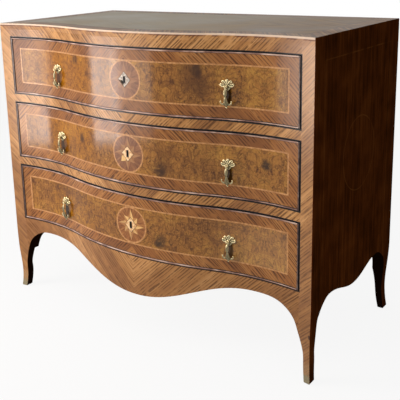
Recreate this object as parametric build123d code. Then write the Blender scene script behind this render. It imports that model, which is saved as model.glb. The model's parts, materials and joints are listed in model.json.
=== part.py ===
from build123d import *
import math
import os

os.makedirs("parts", exist_ok=True)

# A serpentine-fronted walnut commode with three locked drawers and cabriole legs.
# Millimetres. X runs across the chest, the front faces -Y and Z is up from the floor.

# Overall sizes
overall_height = 880.0
overall_width = 1070.0
corner_depth = 525.0              # from the back to the two front corners
bow_radius = 870.0                # convex curve in the middle of the front
bow_half_width = 240.0            # where the convex curve turns into the hollow one
hollow_radius = 600.0             # concave curve towards each corner

# Front frame
top_thickness = 18.0
top_frame_height = 42.0           # top board and top rail together
rail_height = 29.5
apron_top_height = 249.5          # sill of the bottom drawer
bottom_drawer_extra = 4.5         # the bottom drawer is this much deeper than the other two
stile_width = 37.0
rail_least_depth = 55.0           # where the front is most hollow
top_edge_round = 1.5

# Carcass boards
post_depth = 45.0
side_thickness = 25.0
back_thickness = 12.0
back_lap = 20.0                   # how far the back boards lie on each rear post
back_bottom_height = 196.0
back_board_count = 3
shrinkage_gap = 0.6
dust_thickness = 8.0
runner_width = 40.0
runner_height = 20.0
guide_height = 30.0
stop_width = 30.0
stop_depth = 10.0
stop_height = 6.0
stops_span_width = 360.0          # across both stops of a drawer
stop_gap = 0.3
apron_thickness = 45.0

# Legs and the shaped lower edge
apron_drop_height = 130.0         # middle of the front apron
side_drop_height = 182.0          # middle of the side apron
arch_height = 212.0               # top of the arches beside the legs
front_arch_inset = 170.0          # from a corner to the top of a front arch
side_arch_inset = 108.0           # from a corner to the top of a side arch
knee_height = 215.0
front_knee_height = 150.0         # the front face draws back only below the apron's tail
ankle_height = 85.0
ankle_width = 21.0
ankle_depth = 28.0
ankle_inset = 4.0
rear_ankle_inset = 14.0
foot_width = 18.0
foot_depth = 27.0
foot_inset = 0.5
foot_round = 4.5
toe_flare_share = 0.16
front_shoulder_shares = ((0.506, 0.930), (0.682, 0.808), (0.765, 0.662))
side_shoulder_shares = ((0.290, 0.955), (0.480, 0.885), (0.610, 0.800), (0.665, 0.640))

# Drawers
drawer_count = 3
side_gap = 1.5                    # drawer front to stile
head_gap = 1.5                    # drawer front to the rail above
sill_gap = 0.5                    # drawer front to the rail below
running_gap = 0.3                 # drawer side above its runner
bead_width = 5.0
bead_proud = 2.0
bead_depth = 12.0
bead_round = 1.4
veneer_thickness = 1.0
front_thickness = 25.0
box_side_thickness = 12.0
box_back_thickness = 10.0
box_head_gap = 9.0
box_rear_gap = 12.0
bottom_thickness = 8.0
bottom_lift = 9.0
groove_depth = 5.0
tail_count = 3
tail_length = 12.0
tail_tip_share = 0.72             # of the tails' spacing; a dovetail is widest at its tip
tail_root_share = 0.54

# Inlay
border_share = 0.18857            # of a drawer opening's height, from its edge to the light line
line_width = 4.0
ring_gap = 0.5                    # between the medallion's ring and the light lines
ring_width = 4.5
star_long_share = 0.93            # the star and the keyhole plate are shares of the dark ground's radius
star_short_share = 0.69
star_valley_share = 0.47
star_point_count = 8
plate_half_width_share = 0.404
plate_half_height_share = 0.424
escutcheon_proud = 0.3
keyhole_radius = 3.3
keyhole_slot_width = 5.0
keyhole_height = 17.5
broken_corner_shares = ((-1.10, -0.02), (-0.34, -0.10), (-0.08, -0.46), (-0.20, -1.10))

# Locks
lock_width = 64.0
lock_thickness = 13.0
lock_set_back = 14.0              # from the show surface to the lock's front plate
lock_below_key = 25.0
bolt_width = 18.0
bolt_thickness = 6.0
bolt_gap = 0.3
bolt_travel = 9.0
mortise_spare = 3.0

# Drop handles, drawn about the middle of the backplate: x along the front, y up, z outwards
handle_reach = 296.0              # from the middle of the chest
plate_half_width = 20.0
plate_thickness = 2.0
boss_radius = 9.0
boss_thickness = 3.0
leaf_height = 17.5
leaf_half_width = 5.5
lobe_radius = 5.0
scroll_radius = 3.6
post_reach = 12.5                 # hinge pin from the drawer's face
post_radius = 3.2
fork_half_width = 4.5
slot_half_width = 1.8
slot_floor_gap = 0.6
pin_radius = 1.1
pin_clearance = 0.08
thread_radius = 2.0
thread_clearance = 0.15
nut_width = 9.0
nut_thickness = 3.0
nut_gap = 0.1
eye_radius = 3.2
eye_half_width = 1.5
drop_length = 56.0                # hinge pin to the end of the bead
fluke_reach = 16.0
drop_bow = 3.0                    # how far the stem bows out past the hinge pin
drop_thickness = 4.0
bead_radius = 3.0
fluke_radius = 6.5
fluke_thickness = 2.7
fluke_tip_radius = 1.8
stem_shares = ((0.000, 0.094), (0.110, 0.094), (0.190, 0.170), (0.250, 0.215), (0.350, 0.190),
               (0.430, 0.120), (0.540, 0.150), (0.680, 0.260), (0.770, 0.420), (0.850, 0.230), (0.930, 0.110))
sweep_shares = ((0.000, 0.00), (0.180, 0.70), (0.420, 1.00), (0.680, 0.10), (0.860, -1.40), (0.960, -2.10))

overrun = 20.0                    # how far every cutting body runs past what it cuts


# Places that follow from the sizes

half_width = overall_width / 2
bow_angle = math.asin(bow_half_width / bow_radius)
centres_apart = bow_radius + hollow_radius
hollow_centre = centres_apart * math.sin(bow_angle)


def set_back(x, offset=0.0):
    """How far the surface at this offset lies behind the front's most forward point."""
    reach = abs(x)
    if reach <= (bow_radius - offset) * math.sin(bow_angle):
        return bow_radius - math.sqrt((bow_radius - offset) ** 2 - reach ** 2)
    sweep = math.sqrt((hollow_radius + offset) ** 2 - (reach - hollow_centre) ** 2)
    return bow_radius - centres_apart * math.cos(bow_angle) + sweep


bulge = set_back(half_width)
total_depth = corner_depth + bulge + bead_proud
back_y = total_depth / 2
front_y = bead_proud - total_depth / 2
corner_y = front_y + bulge
side_middle_y = (corner_y + back_y) / 2
side_half = corner_depth / 2
post_back_y = corner_y + post_depth
rear_post_y = back_y - post_depth
rail_back_y = front_y + set_back(hollow_centre) + rail_least_depth
carcass_top = overall_height - top_thickness
opening_half = half_width - stile_width
inner_half = half_width - side_thickness
box_half = opening_half - side_gap
box_back_y = back_y - back_thickness - box_rear_gap
stop_reach = stops_span_width / 2

top_high = overall_height - top_frame_height
all_drawers_height = top_high - apron_top_height - 2 * rail_height - bottom_drawer_extra
drawer_opening_height = all_drawers_height / drawer_count
top_low = top_high - drawer_opening_height
middle_high = top_low - rail_height
middle_low = middle_high - drawer_opening_height
bottom_high = middle_low - rail_height
bottom_low = apron_top_height
border_inset = border_share * drawer_opening_height
medallion_radius = drawer_opening_height / 2 - border_inset - ring_gap
ground_radius = medallion_radius - ring_width
diamond_half_width = plate_half_width_share * ground_radius
diamond_half_height = plate_half_height_share * ground_radius
openings = {"top": (top_low, top_high), "middle": (middle_low, middle_high), "bottom": (bottom_low, bottom_high)}

pieces = {}


# Helpers that every piece shares

def front_at(x, offset=0.0):
    return front_y + set_back(x, offset)


def block(x_low, x_high, y_low, y_high, z_low, z_high):
    middle = Pos((x_low + x_high) / 2, (y_low + y_high) / 2, (z_low + z_high) / 2)
    return middle * Box(x_high - x_low, y_high - y_low, z_high - z_low)


def closed_face(edges):
    return make_face(Curve() + edges)


def plan_behind(offset, back):
    """The plan of everything behind the front curve, set back by offset."""
    reach = half_width + overrun
    turn = (bow_radius - offset) * math.sin(bow_angle)
    stations = [-reach, -turn, turn, reach]
    edges = []
    for start, end in zip(stations, stations[1:]):
        points = [(x, front_at(x, offset)) for x in (start, (start + end) / 2, end)]
        edges.append(ThreePointArc(*points))
    left = (-reach, front_at(reach, offset))
    right = (reach, front_at(reach, offset))
    edges += [Line(right, (reach, back)), Line((reach, back), (-reach, back)), Line((-reach, back), left)]
    return closed_face(edges)


def behind(offset, x_low, x_high, z_low, z_high, back=back_y):
    solid = extrude(Pos(0, 0, z_low) * plan_behind(offset, back), z_high - z_low)
    return solid & block(x_low, x_high, -overall_width, back, z_low, z_high)


def layer(near, far, x_low, x_high, z_low, z_high):
    outer = behind(near, x_low, x_high, z_low, z_high)
    return outer - behind(far, x_low - overrun, x_high + overrun, z_low - overrun, z_high + overrun)


def front_prism(face):
    return extrude(Plane.XZ * face, overall_width, both=True)


def side_prism(face):
    return extrude(Plane.YZ * (Pos(side_middle_y, 0) * face), overall_width, both=True)


def rectangle(x_low, x_high, z_low, z_high):
    return Pos((x_low + x_high) / 2, (z_low + z_high) / 2) * Rectangle(x_high - x_low, z_high - z_low)


def mirrored(solid):
    return mirror(solid, about=Plane.YZ)


# Lower outline: waves under the aprons, then down the inside of each leg

def half_outline(sign, half, drop_height, reach, shoulder_shares, ankle_at, sole_at):
    def at(distance, height):
        return (sign * distance, height)

    wave_middle = at(reach / 2, (drop_height + arch_height) / 2)
    wave = Spline(at(0, drop_height), wave_middle, at(reach, arch_height), tangents=((sign, 0), (sign, 0)))
    shoulder = [at(reach + along * (half - reach), up * arch_height) for along, up in shoulder_shares]
    leg_points = [at(reach, arch_height)] + shoulder + [at(ankle_at, ankle_height), at(sole_at, 0)]
    leg = Spline(*leg_points, tangents=((sign, 0), (sign * toe_flare_share, -1)))
    return [wave, leg]


def under_void(left, right, left_sole, right_sole):
    below = [Line((right_sole, 0), (right_sole, -overrun)), Line((right_sole, -overrun), (-left_sole, -overrun)),
             Line((-left_sole, -overrun), (-left_sole, 0))]
    return closed_face(left + right + below)


def outer_void(sign, half, ankle_at, sole_at, knee=knee_height):
    edge_points = [(sign * (half - sole_at), 0), (sign * (half - ankle_at), ankle_height), (sign * half, knee)]
    edge = Spline(*edge_points, tangents=((-sign * toe_flare_share, 1), (0, 1)))
    out = sign * (half + overrun)
    rim = [Line(edge_points[-1], (out, knee)), Line((out, knee), (out, -overrun)),
           Line((out, -overrun), (sign * (half - sole_at), -overrun)),
           Line((sign * (half - sole_at), -overrun), edge_points[0])]
    return closed_face([edge] + rim)


front_ankle = half_width - ankle_inset - ankle_width
front_sole = half_width - foot_inset - foot_width
front_reach = half_width - front_arch_inset
front_halves = [half_outline(sign, half_width, apron_drop_height, front_reach, front_shoulder_shares,
                             front_ankle, front_sole) for sign in (-1, 1)]
front_void = front_prism(under_void(front_halves[0], front_halves[1], front_sole, front_sole))

side_reach = side_half - side_arch_inset
side_sole = side_half - foot_inset - foot_depth
side_ankles = (side_half - ankle_inset - ankle_depth, side_half - rear_ankle_inset - ankle_depth)
side_halves = [half_outline(sign, side_half, side_drop_height, side_reach, side_shoulder_shares, ankle, side_sole)
               for sign, ankle in zip((-1, 1), side_ankles)]
side_void = side_prism(under_void(side_halves[0], side_halves[1], side_sole, side_sole))


# Carcass

def front_leg_post():
    post = behind(0, opening_half, half_width, 0, carcass_top, post_back_y)
    post = post - front_void - side_void
    post = post - front_prism(outer_void(1, half_width, ankle_inset, foot_inset))
    corner = Vector(half_width, corner_y, 0)
    seam = Vector(opening_half, front_at(opening_half), 0)
    along = (corner - seam).normalized()
    inwards = Vector(0, 0, 1).cross(along)
    show_face = Plane(origin=corner, x_dir=inwards, z_dir=inwards.cross(Vector(0, 0, 1)))
    toe_outline = outer_void(-1, 0, ankle_inset, foot_inset, front_knee_height)
    toe_cut = extrude(show_face * toe_outline, post_depth + overrun, both=True)
    return round_sole(post - toe_cut)


def rear_leg_post():
    post = block(opening_half, half_width, rear_post_y, back_y, 0, carcass_top)
    post = post - front_void - side_void
    post = post - front_prism(outer_void(1, half_width, ankle_inset, foot_inset))
    post = post - side_prism(outer_void(1, side_half, rear_ankle_inset, foot_inset))
    rebate = block(0, opening_half + back_lap, back_y - back_thickness, back_y + overrun,
                   back_bottom_height, overall_height)
    return round_sole(post - rebate)


def round_sole(post):
    sole = post.faces().sort_by(Axis.Z)[0]
    return fillet(sole.edges(), foot_round)


def make_carcass():
    top = behind(0, -half_width, half_width, carcass_top, overall_height)
    pieces["top_board"] = fillet(top.faces().sort_by(Axis.Z)[-1].edges(), top_edge_round)

    front_post = front_leg_post()
    rear_post = rear_leg_post()
    pieces["front_right_leg_post"] = front_post
    pieces["front_left_leg_post"] = mirrored(front_post)
    pieces["rear_right_leg_post"] = rear_post
    pieces["rear_left_leg_post"] = mirrored(rear_post)

    side = block(inner_half, half_width, post_back_y, rear_post_y, 0, carcass_top) - side_void
    pieces["right_side_panel"] = side
    pieces["left_side_panel"] = mirrored(side)

    pieces["top_front_rail"] = front_rail(top_high, carcass_top)
    pieces["upper_divider_rail"] = front_rail(middle_high, top_low)
    pieces["lower_divider_rail"] = front_rail(bottom_high, middle_low)
    apron = layer(0, apron_thickness, -opening_half, opening_half, 0, bottom_low)
    pieces["front_apron"] = apron - front_void

    pieces["back_boards"] = Compound(back_boards())
    pieces["dust_boards"] = Compound([dust_board(low, near) for low, near in
                                      ((top_low, 0), (middle_low, 0), (bottom_low, apron_thickness))])
    lows = (top_low, middle_low, bottom_low)
    pieces["drawer_runners"] = Compound(paired([runner(low) for low in lows]))
    pieces["drawer_guides"] = Compound(paired([guide(low) for low in lows]))
    pieces["drawer_stops"] = Compound(paired([stop(low) for low in lows]))
    pieces["top_kickers"] = Compound(paired([kicker()]))


def paired(solids):
    return solids + [mirrored(solid) for solid in solids]


def front_rail(z_low, z_high):
    rail = behind(0, -opening_half, opening_half, z_low, z_high, rail_back_y)
    return rail - bolt_space(z_low - overrun, z_low + bolt_travel - head_gap + mortise_spare)


def bolt_space(z_low, z_high):
    """The slot that a lock bolt slides in."""
    half = bolt_width / 2 + bolt_gap
    middle = front_y + lock_set_back + lock_thickness / 2
    deep = bolt_thickness / 2 + bolt_gap
    return block(-half, half, middle - deep, middle + deep, z_low, z_high)


def back_boards():
    reach = opening_half + back_lap
    step = (carcass_top - back_bottom_height) / back_board_count
    boards = []
    for number in range(back_board_count):
        low = back_bottom_height + number * step
        high = low + step - (shrinkage_gap if number < back_board_count - 1 else 0)
        boards.append(block(-reach, reach, back_y - back_thickness, back_y, low, high))
    return boards


def dust_board(opening_low, near):
    high = opening_low - runner_height
    low = high - dust_thickness
    start = behind(near, -inner_half, inner_half, low, high, back_y - back_thickness)
    if near == 0:
        start = start & block(-inner_half, inner_half, rail_back_y, back_y, low, high)
    front_corner = block(opening_half, half_width, -back_y, post_back_y, low, high)
    rear_corner = block(opening_half, half_width, rear_post_y, back_y, low, high)
    for corner in paired([front_corner, rear_corner]):
        start = start - corner
    return start


def runner(opening_low):
    return block(inner_half - runner_width, inner_half, rail_back_y, rear_post_y,
                 opening_low - runner_height, opening_low)


def guide(opening_low):
    return block(opening_half, inner_half, post_back_y, rear_post_y, opening_low, opening_low + guide_height)


def stop(opening_low):
    start = front_at(stop_reach, front_thickness) + stop_gap
    return block(stop_reach - stop_width, stop_reach, start, start + stop_depth, opening_low, opening_low + stop_height)


def kicker():
    return block(inner_half - runner_width, inner_half, rail_back_y, rear_post_y, top_high, carcass_top)


# Inlay outlines, drawn on the front elevation

def star_outline(z_middle):
    points = []
    for number in range(2 * star_point_count):
        tip = star_long_share if number % 4 == 0 else star_short_share
        radius = ground_radius * (tip if number % 2 == 0 else star_valley_share)
        angle = math.pi * number / star_point_count
        points.append((radius * math.sin(angle), z_middle + radius * math.cos(angle)))
    return make_face(Polyline(*points, close=True))


def diamond_outline(z_middle):
    points = [(diamond_half_width, z_middle), (0, z_middle + diamond_half_height),
              (-diamond_half_width, z_middle), (0, z_middle - diamond_half_height)]
    return make_face(Polyline(*points, close=True))


def keyhole_outline(z_middle):
    head_height = z_middle + keyhole_height / 2 - keyhole_radius
    head = Pos(0, head_height) * Circle(keyhole_radius)
    slot = rectangle(-keyhole_slot_width / 2, keyhole_slot_width / 2, z_middle - keyhole_height / 2, head_height)
    return head + slot


def broken_corner(z_middle):
    points = [(along * diamond_half_width, z_middle + up * diamond_half_height) for along, up in broken_corner_shares]
    return make_face(Polyline(*points, close=True))


# Drop handles

def handle_place(side, z_middle):
    """The plane on the drawer's face that a handle is drawn on."""
    slope = (hollow_centre - handle_reach) / (set_back(handle_reach) - set_back(hollow_centre) + hollow_radius)
    along = Vector(1, side * slope, 0).normalized()
    outwards = along.cross(Vector(0, 0, 1))
    return Plane(origin=(side * handle_reach, front_at(handle_reach), z_middle), x_dir=along, z_dir=outwards)


def across(radius, half_length, height):
    """A round bar along the handle's x axis, at a height off the face."""
    return Pos(0, 0, height) * Rot(0, 90, 0) * Cylinder(radius, 2 * half_length)


def handle_plate():
    leaf_middle = leaf_height / 2
    outline = Circle(boss_radius) + Pos(0, leaf_middle) * Ellipse(leaf_half_width, leaf_middle)
    for side in (-1, 1):
        outline += Pos(side * (plate_half_width - scroll_radius), scroll_radius) * Circle(scroll_radius)
        outline += Pos(side * (boss_radius + lobe_radius / 2), 0) * Circle(lobe_radius)
        outline += Pos(side * (boss_radius - lobe_radius / 2), boss_radius) * Circle(lobe_radius)
        outline += Pos(side * lobe_radius, -boss_radius + lobe_radius / 2) * Circle(lobe_radius)
    seat = plate_half_width ** 2 / (2 * hollow_radius)
    plate = Pos(0, 0, seat) * extrude(outline, plate_thickness)
    boss = Pos(0, 0, seat) * extrude(Circle(boss_radius), boss_thickness)
    return plate + boss - Cylinder(thread_radius + thread_clearance, 2 * post_reach)


def handle_post():
    shank_top = post_reach - eye_radius - slot_floor_gap
    seat = plate_half_width ** 2 / (2 * hollow_radius) + boss_thickness
    shank = Pos(0, 0, (seat + shank_top) / 2) * Cylinder(post_radius, shank_top - seat)
    ears = block(-fork_half_width, fork_half_width, -post_radius, post_radius, shank_top - post_radius, post_reach)
    ears = ears + across(post_radius, fork_half_width, post_reach)
    slot = block(-slot_half_width, slot_half_width, -overrun, overrun, shank_top, post_reach + overrun)
    pin = across(pin_radius, fork_half_width, post_reach)
    tail_end = -front_thickness - nut_gap - nut_thickness
    tail = Pos(0, 0, (seat + tail_end) / 2) * Cylinder(thread_radius, seat - tail_end)
    return shank + (ears - slot) + pin + tail


def handle_nut():
    nut = Box(nut_width, nut_width, nut_thickness) - Cylinder(thread_radius, 2 * nut_thickness)
    return Pos(0, 0, -front_thickness - nut_gap - nut_thickness / 2) * nut


def drop_front_outline():
    right = [(wide * fluke_reach, -down * drop_length) for down, wide in stem_shares]
    left = [(-x, y) for x, y in reversed(right)]
    stem = closed_face([Spline(*right), Line(right[-1], left[0]), Spline(*left), Line(left[-1], right[0])])
    outline = stem + rectangle(-eye_half_width, eye_half_width, -eye_radius, eye_radius)
    outline += Pos(0, bead_radius - drop_length) * Circle(bead_radius)
    fluke_low = -stem_shares[-3][0] * drop_length
    for side in (-1, 1):
        middle = Pos(side * (fluke_reach - fluke_radius), fluke_low + fluke_radius / 2)
        hook = Circle(fluke_radius) - Circle(fluke_radius - fluke_thickness)
        hook = hook & rectangle(-fluke_radius, fluke_radius, -fluke_radius, 0)
        tip = Pos(side * (fluke_radius - fluke_tip_radius), 0) * Circle(fluke_tip_radius)
        outline += middle * (hook + tip)
    return outline


def drop_side_outline():
    half = drop_thickness / 2
    line = [(-down * drop_length, post_reach + out * drop_bow) for down, out in sweep_shares]
    outer = [(along, out + half) for along, out in line]
    inner = [(along, out - half) for along, out in reversed(line)]
    stem = closed_face([Spline(*outer), Line(outer[-1], inner[0]), Spline(*inner), Line(inner[-1], outer[0])])
    bead_out = post_reach + sweep_shares[-1][1] * drop_bow
    bead = Pos(bead_radius - drop_length, bead_out) * Circle(bead_radius)
    return stem + Pos(0, post_reach) * Circle(eye_radius) + bead


def handle_drop():
    front = extrude(drop_front_outline(), post_reach + overrun)
    side = extrude(Plane.YZ * drop_side_outline(), fluke_reach + overrun, both=True)
    return (front & side) - across(pin_radius + pin_clearance, fork_half_width, post_reach)


plate_solid = handle_plate()
post_solid = handle_post()
nut_solid = handle_nut()
drop_solid = handle_drop()


# Drawers

def dovetails(z_low, z_high):
    """The tails at the front end of a drawer side, let into the back of the drawer front."""
    start = front_thickness - tail_length
    inner = box_half - box_side_thickness
    stock = layer(start, front_thickness, inner, box_half, z_low, z_high)
    tip_y = front_at(box_half, start)
    root_y = front_at(inner, front_thickness)
    pitch = (z_high - z_low) / tail_count
    tails = []
    for number in range(tail_count):
        middle = z_low + (number + 1 / 2) * pitch
        tip = tail_tip_share * pitch / 2
        root = tail_root_share * pitch / 2
        points = [(tip_y, middle - tip), (tip_y, middle + tip), (root_y, middle + root), (root_y, middle - root)]
        wedge = extrude(Plane.YZ * make_face(Polyline(*points, close=True)), overall_width, both=True)
        tails.append(stock & wedge)
    return tails


def make_drawer(level, z_low, z_high):
    name = level + "_drawer_"
    z_middle = (z_low + z_high) / 2
    half_face = opening_half - side_gap
    low = z_low + sill_gap
    high = z_high - head_gap
    extent = (-half_face, half_face, low, high)

    whole = rectangle(*extent)
    within_bead = rectangle(bead_width - half_face, half_face - bead_width, low + bead_width, high - bead_width)
    bead = layer(-bead_proud, bead_depth, *extent) & front_prism(whole - within_bead)
    pieces[name + "cockbead"] = round_bead(bead)

    line_half = opening_half - border_inset
    line_outer = rectangle(-line_half, line_half, z_low + border_inset, z_high - border_inset)
    line_inner = rectangle(line_width - line_half, line_half - line_width,
                           z_low + border_inset + line_width, z_high - border_inset - line_width)
    disc = Pos(0, z_middle) * Circle(medallion_radius)
    ground = Pos(0, z_middle) * Circle(ground_radius)
    star = star_outline(z_middle)
    diamond = diamond_outline(z_middle)
    keyhole = keyhole_outline(z_middle)
    plate = diamond - keyhole
    if level == "top":
        plate = plate - broken_corner(z_middle)

    places = [handle_place(side, z_middle) for side in (-1, 1)]
    bore_length = 2 * (front_thickness + nut_thickness)
    bores = [place * Cylinder(thread_radius + thread_clearance, bore_length) for place in places]
    skin = layer(0, veneer_thickness, *extent)
    pieces[name + "crossband"] = skin & front_prism(within_bead - line_outer)
    field = skin & front_prism(line_inner - disc)
    for bore in bores:
        field = field - bore
    pieces[name + "field_veneer"] = field
    lines = [line_outer - line_inner, disc - ground, star - diamond]
    pieces[name + "boxwood_inlay"] = Compound([solid for face in lines for solid in (skin & front_prism(face)).solids()])
    pieces[name + "medallion_ground"] = skin & front_prism(ground - star - diamond)
    plate_layer = layer(-escutcheon_proud, veneer_thickness, *extent)
    pieces[name + "escutcheon"] = plate_layer & front_prism(plate)

    lock_low = z_middle - lock_below_key
    lock_front = front_y + lock_set_back
    case = block(-lock_width / 2, lock_width / 2, lock_front, lock_front + lock_thickness, lock_low, high)
    bottom_z = z_low + bottom_lift
    bottom_reach = box_half - box_side_thickness + groove_depth
    bottom_back = box_back_y - box_back_thickness + groove_depth
    bottom = behind(front_thickness - groove_depth, -bottom_reach, bottom_reach,
                    bottom_z, bottom_z + bottom_thickness, bottom_back)
    box_low = z_low + running_gap
    box_high = z_high - box_head_gap
    tails = dovetails(box_low, box_high)
    core = layer(veneer_thickness, front_thickness, *extent) - bead - case - bottom
    for cutter in [front_prism(keyhole)] + bores + paired(tails):
        core = core - cutter
    pieces[name + "front"] = core

    bolt_low = z_middle - keyhole_height / 2
    lock_hole = front_prism(keyhole) & block(-lock_width, lock_width, lock_front - overrun,
                                             lock_front + lock_thickness / 2, lock_low, high)
    pieces[name + "lock_case"] = case - bolt_space(bolt_low - bolt_gap, high + overrun) - lock_hole
    bolt_middle = front_y + lock_set_back + lock_thickness / 2
    pieces[name + "lock_bolt"] = block(-bolt_width / 2, bolt_width / 2, bolt_middle - bolt_thickness / 2,
                                       bolt_middle + bolt_thickness / 2, bolt_low, high)

    side = behind(front_thickness, box_half - box_side_thickness, box_half, box_low, box_high, box_back_y)
    for tail in tails:
        side = side + tail
    side = side - bottom
    back = block(box_side_thickness - box_half, box_half - box_side_thickness,
                 box_back_y - box_back_thickness, box_back_y, box_low, box_high) - bottom
    pieces[name + "box_boards"] = Compound(paired([side]) + [back])
    pieces[name + "bottom_board"] = bottom

    mounts = [place * solid for place in places for solid in (plate_solid, post_solid, nut_solid)]
    pieces[name + "handle_plates"] = Compound(mounts)
    for side_name, place in zip(("left", "right"), places):
        pieces[name + side_name + "_drop"] = place * drop_solid


def round_bead(bead):
    nose = [edge for edge in bead.edges() if is_on_nose(edge)]
    return fillet(nose, bead_round)


def is_on_nose(edge):
    """True for the long edges of the bead's proud face."""
    middle = edge @ 0.5
    return abs(middle.Y - front_at(middle.X, -bead_proud)) < bead_round / 2 and edge.length > 2 * bead_depth


make_carcass()
for level, (z_low, z_high) in openings.items():
    make_drawer(level, z_low, z_high)

for name, shape in pieces.items():
    export_step(shape, "parts/" + name + ".step")
print(len(pieces), "pieces written, total depth", round(total_depth, 1))
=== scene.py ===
import json
import math

import bmesh
import bpy
from mathutils import Matrix, Vector


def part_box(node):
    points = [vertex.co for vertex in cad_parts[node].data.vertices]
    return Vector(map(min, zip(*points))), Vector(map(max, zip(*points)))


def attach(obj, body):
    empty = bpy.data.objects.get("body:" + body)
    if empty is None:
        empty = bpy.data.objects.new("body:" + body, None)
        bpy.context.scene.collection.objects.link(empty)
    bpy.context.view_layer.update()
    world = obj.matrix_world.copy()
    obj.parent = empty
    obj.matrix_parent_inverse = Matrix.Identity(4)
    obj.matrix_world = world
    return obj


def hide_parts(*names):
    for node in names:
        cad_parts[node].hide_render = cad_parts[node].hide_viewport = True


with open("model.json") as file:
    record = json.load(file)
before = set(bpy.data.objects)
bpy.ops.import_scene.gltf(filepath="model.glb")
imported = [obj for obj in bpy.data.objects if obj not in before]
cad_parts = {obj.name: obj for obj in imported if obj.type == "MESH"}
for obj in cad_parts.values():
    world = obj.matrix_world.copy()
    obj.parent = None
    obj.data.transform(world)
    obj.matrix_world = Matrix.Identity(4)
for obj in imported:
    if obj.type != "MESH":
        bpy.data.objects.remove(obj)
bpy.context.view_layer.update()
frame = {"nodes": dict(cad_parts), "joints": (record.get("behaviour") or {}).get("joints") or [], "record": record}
cadNodes = frame["nodes"]
cadJoints = {joint["name"]: joint for joint in frame["joints"]}
levels = ("top", "middle", "bottom")
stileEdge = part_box("front_right_leg_post")[0].x
mm = 0.001
# the setting that the second word of a node's kind goes to, and short words for the two kinds used most:
# Ease runs smoothly from 0 to 1 between two values, and Blend mixes two colours by a share
modeOf = {"Math": "operation", "VectorMath": "operation", "MapRange": "interpolation_type",
          "Mix": "data_type", "VectorRotate": "rotation_type", "TexVoronoi": "feature",
          "TexWhiteNoise": "noise_dimensions"}
shortKinds = {"Ease": "MapRange SMOOTHSTEP", "Blend": "Mix RGBA"}
print("frame loaded:", len(cadNodes), "nodes")


def linear(code):
    # an sRGB hex value as the linear colour that the nodes take
    parts = [int(code[i:i + 2], 16) / 255 for i in (1, 3, 5)]
    return [p / 12.92 if p <= 0.04045 else ((p + 0.055) / 1.055) ** 2.4 for p in parts] + [1.0]


def perMm(*sizes):
    # how many times a size in millimetres goes into a metre, as a list where there are more sizes
    counts = [1 / (size * mm) for size in sizes]
    return counts if len(counts) > 1 else counts[0]


def nodesFor(owner):
    # empties the node tree of a material or the world, and gives the function that adds to it
    owner.use_nodes = True
    tree = owner.node_tree
    tree.nodes.clear()

    def add(kind, inputs=(), stops=(), out="", **settings):
        # one node with its settings and links; numbered inputs are those that its mode shows
        kind, _, mode = shortKinds.get(kind, kind).partition(" ")
        node = tree.nodes.new("ShaderNode" + kind)
        if mode:
            settings[modeOf[kind]] = mode
        for name, value in settings.items():
            setattr(node, name, value)
        shown = [socket for socket in node.inputs if socket.enabled]
        for key, value in (inputs.items() if isinstance(inputs, dict) else enumerate(inputs)):
            socket = node.inputs[key] if isinstance(key, str) else shown[key]
            if isinstance(value, bpy.types.NodeSocket):
                tree.links.new(value, socket)
            else:
                socket.default_value = linear(value) if isinstance(value, str) else value
        for number, (position, tone) in enumerate(stops):
            ramp = node.color_ramp.elements
            stop = ramp[number] if number < 2 else ramp.new(position)
            stop.position, stop.color = position, linear(tone)
        if out:
            return node.outputs[out]
        return next((socket for socket in node.outputs if socket.enabled), None)

    return add


def newSurface(name):
    made = bpy.data.materials.new(name)
    return made, nodesFor(made)


def closeSurface(add, look, colour, height, **ruled):
    # the shader with its relief, joined to the output; a pattern may rule what the look has a number for
    look = {**look, **ruled}
    relief = add("Bump", {"Height": height, "Distance": look["reliefMm"] * mm, "Strength": 1.0})
    add("OutputMaterial", [add("BsdfPrincipled", {
        "Base Color": colour, "Roughness": look["roughness"], "Metallic": look.get("metallic", 0.0),
        "Specular IOR Level": look.get("specular", 0.5), "Normal": relief})])


def placeOn(add):
    # the rest place of a point in metres, whole and as X, Y and Z
    whole = add("TexCoord", out="Object")
    return dict(add("SeparateXYZ", [whole]).node.outputs.items(), whole=whole)


def facing(add):
    # how far a face turns to the front, and outwards to its own side
    normal = add("SeparateXYZ", [add("TexCoord", out="Normal")]).node.outputs
    outwards = add("Math MULTIPLY", [normal["X"], add("Math SIGN", [placeOn(add)["X"]])])
    return add("Ease", [normal["Y"], -0.35, -0.5]), add("Ease", [outwards, 0.6, 0.75])


def grainNoise(add, point, stretch, sockets):
    # noise stretched by so many features in a metre along each axis
    stretched = add("VectorMath MULTIPLY", [point, stretch])
    return add("TexNoise", {"Vector": stretched, "Scale": 1.0, **sockets})


def mixture(add, *parts):
    # patterns added up, each with its share
    total = 0.0
    for pattern, share in parts:
        total = add("Math MULTIPLY_ADD", [pattern, share, total])
    return total


def extreme(add, way, *pairs):
    # the MINIMUM or MAXIMUM of some differences
    found = None
    for pair in pairs:
        apart = add("Math SUBTRACT", pair)
        found = add("Math " + way, [found, apart]) if found else apart
    return found


def zone(add, *limits):
    # 1 within a part of the chest: rows of axis, where it is 0 and where it is 1, in metres
    place, share = placeOn(add), None
    for axis, none, full in limits:
        inside = add("Ease", [place[axis], none, full])
        share = add("Math MULTIPLY", [share, inside]) if share else inside
    return share


def fromSpot(add, point, middle, wideMm, tallMm, drift=None, driftBy=0.0):
    # how far a point of the front is from a spot, counted in the spot's own half width and half height
    off = add("VectorMath SUBTRACT", [point, middle])
    if drift:
        off = add("VectorMath MULTIPLY_ADD", [drift, [driftBy * wideMm * mm] * 3, off])
    off = add("VectorMath MULTIPLY", [off, (perMm(wideMm), 0, perMm(tallMm))])
    return add("VectorMath LENGTH", [off])


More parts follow.
